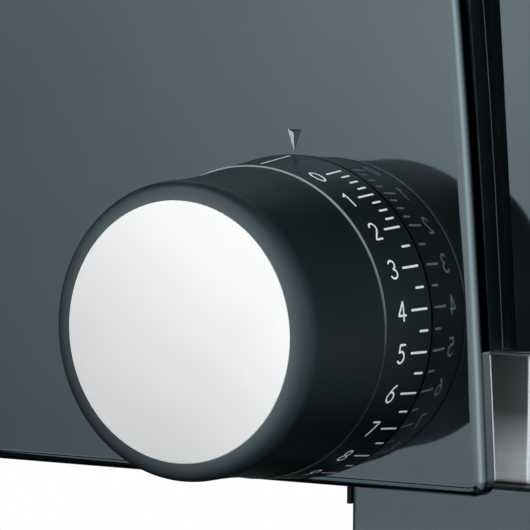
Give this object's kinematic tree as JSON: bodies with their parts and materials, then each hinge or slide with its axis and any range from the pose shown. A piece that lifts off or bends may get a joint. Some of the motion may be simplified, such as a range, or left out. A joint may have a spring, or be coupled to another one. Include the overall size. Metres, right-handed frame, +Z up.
{
  "type": "electric food slicer",
  "caption": "Domestic electric food slicer: a round blade on a motor tower, a stop plate set by a scaled knob, and a sliding carriage with a food holder on a low base.",
  "frame": {"origin": "middle of the whole slicer's footprint, on the table it stands on", "axes": "+X along the carriage's travel from the motor tower to the knob's end, +Y from the knob side to the food side, +Z up"},
  "size_m": [0.372, 0.277, 0.243],
  "materials": {
    "titan_gloss": "dark titan-grey high-gloss paint",
    "black_plastic": "satin black moulded plastic",
    "rubber": "matte black",
    "polished_aluminium": "polished extrusion",
    "cast_aluminium": "as cast, satin",
    "steel": "ground steel",
    "bronze": "sintered bronze",
    "polished_steel": "polished",
    "blade_steel": "circular ground steel",
    "table_steel": "brushed stainless steel",
    "knob_scale": "satin black with a white printed scale",
    "knob_grip": "soft-touch black",
    "knob_trim": "pale grey line",
    "knob_disc": "fine blasted, bright",
    "gear_plastic": "natural acetal",
    "motor_iron": "laminated sheet",
    "copper": "enamelled copper",
    "board": "coated circuit board",
    "button_grey": "grey gloss"
  },
  "bodies": {
    "frame": {"base_plate": "titan_gloss", "rubber_feet": "rubber", "base_foot": "titan_gloss", "left_foot": "titan_gloss", "beam_seat": "black_plastic", "guide_beam": "polished_aluminium", "beam_caps": "polished_aluminium", "beam_screws": "steel", "guide_bushes": "bronze", "spindle_nut": "bronze", "counter_pin": "steel", "blade_bearings": "bronze", "tower_housing": "titan_gloss", "back_plate": "cast_aluminium", "guard_ring": "polished_steel", "motor_cover": "black_plastic", "tower_screws": "steel", "mains_inlet": "black_plastic", "motor_bells": "cast_aluminium", "stator": "motor_iron", "field_coils": "copper", "brush_holders": "bronze", "switch_block": "black_plastic", "control_board": "board"},
    "stop_plate": {"stop_panel": "titan_gloss", "spacer_frame": "black_plastic", "stop_face": "titan_gloss", "carrier": "cast_aluminium", "carrier_screws": "steel", "guide_rods": "steel", "knob_bush": "bronze"},
    "knob": {"scale_ring": "knob_scale", "trim_ring": "knob_trim", "knob_grip": "knob_grip", "knob_disc": "knob_disc", "knob_shaft": "steel", "shaft_clip": "steel", "knob_gear": "gear_plastic"},
    "lead_screw_set": {"lead_screw": "steel", "setting_pinion": "gear_plastic"},
    "blade_set": {"blade": "blade_steel", "blade_carrier": "cast_aluminium", "blade_cap": "blade_steel", "blade_spindle": "steel", "blade_gear": "gear_plastic"},
    "counter_set": {"counter_gear": "gear_plastic"},
    "rotor": {"rotor_core": "motor_iron", "motor_shaft": "steel", "commutator": "copper", "motor_pinion": "motor_iron", "cooling_fan": "black_plastic"},
    "carriage": {"carriage_table": "table_steel", "carriage_frame": "black_plastic", "glide_shoes": "gear_plastic", "carriage_wall": "table_steel", "carriage_handle": "black_plastic"},
    "food_holder_set": {"food_holder": "black_plastic"},
    "lock": {"lock_lever": "black_plastic"},
    "run_button_set": {"run_button": "button_grey"},
    "run_slider_set": {"run_slider": "black_plastic"}
  },
  "joints": [
    {"name": "thickness_slide", "type": "slide", "parent": "frame", "child": "stop_plate", "axis": [0, -1, 0], "range_m": [0, 0.02146]},
    {"name": "thickness_knob", "type": "hinge", "parent": "stop_plate", "child": "knob", "pos_m": [0.106, -0.0265, 0.085], "axis": [0, -1, 0], "range_deg": [0, 329.5]},
    {"name": "lead_screw_turn", "type": "hinge", "parent": "stop_plate", "child": "lead_screw_set", "pos_m": [0.106, -0.0265, 0.0658], "axis": [0, -1, 0], "range_deg": [-659, 0]},
    {"name": "blade_spin", "type": "hinge", "parent": "frame", "child": "blade_set", "pos_m": [-0.094, -0.0265, 0.151], "axis": [0, -1, 0], "continuous": true},
    {"name": "counter_spin", "type": "hinge", "parent": "frame", "child": "counter_set", "pos_m": [-0.11588, -0.0265, 0.11311], "axis": [0, -1, 0], "continuous": true},
    {"name": "motor_spin", "type": "hinge", "parent": "frame", "child": "rotor", "pos_m": [-0.1264, -0.0265, 0.07868], "axis": [0, -1, 0], "continuous": true},
    {"name": "carriage_slide", "type": "slide", "parent": "frame", "child": "carriage", "axis": [-1, 0, 0], "range_m": [0, 0.205]},
    {"name": "food_holder_slide", "type": "slide", "parent": "carriage", "child": "food_holder_set", "axis": [0, -1, 0], "range_m": [0, 0.124]},
    {"name": "lock_lever_turn", "type": "hinge", "parent": "carriage", "child": "lock", "pos_m": [0.144, 0.0615, 0.0707], "axis": [0, 0, 1], "range_deg": [0, 55]},
    {"name": "run_button_press", "type": "slide", "parent": "frame", "child": "run_button_set", "axis": [0, 1, 0], "range_m": [0, 0.003], "stiffness_N_per_m": 300},
    {"name": "run_slider_move", "type": "slide", "parent": "frame", "child": "run_slider_set", "axis": [1, 0, 0], "range_m": [0, 0.008]}
  ],
  "couplings": [
    {"joint": "thickness_knob", "follows": "thickness_slide", "rad_per_m": 267.9},
    {"joint": "lead_screw_turn", "follows": "thickness_slide", "rad_per_m": -535.8},
    {"joint": "counter_spin", "follows": "blade_spin", "ratio": -4},
    {"joint": "motor_spin", "follows": "blade_spin", "ratio": 20}
  ]
}
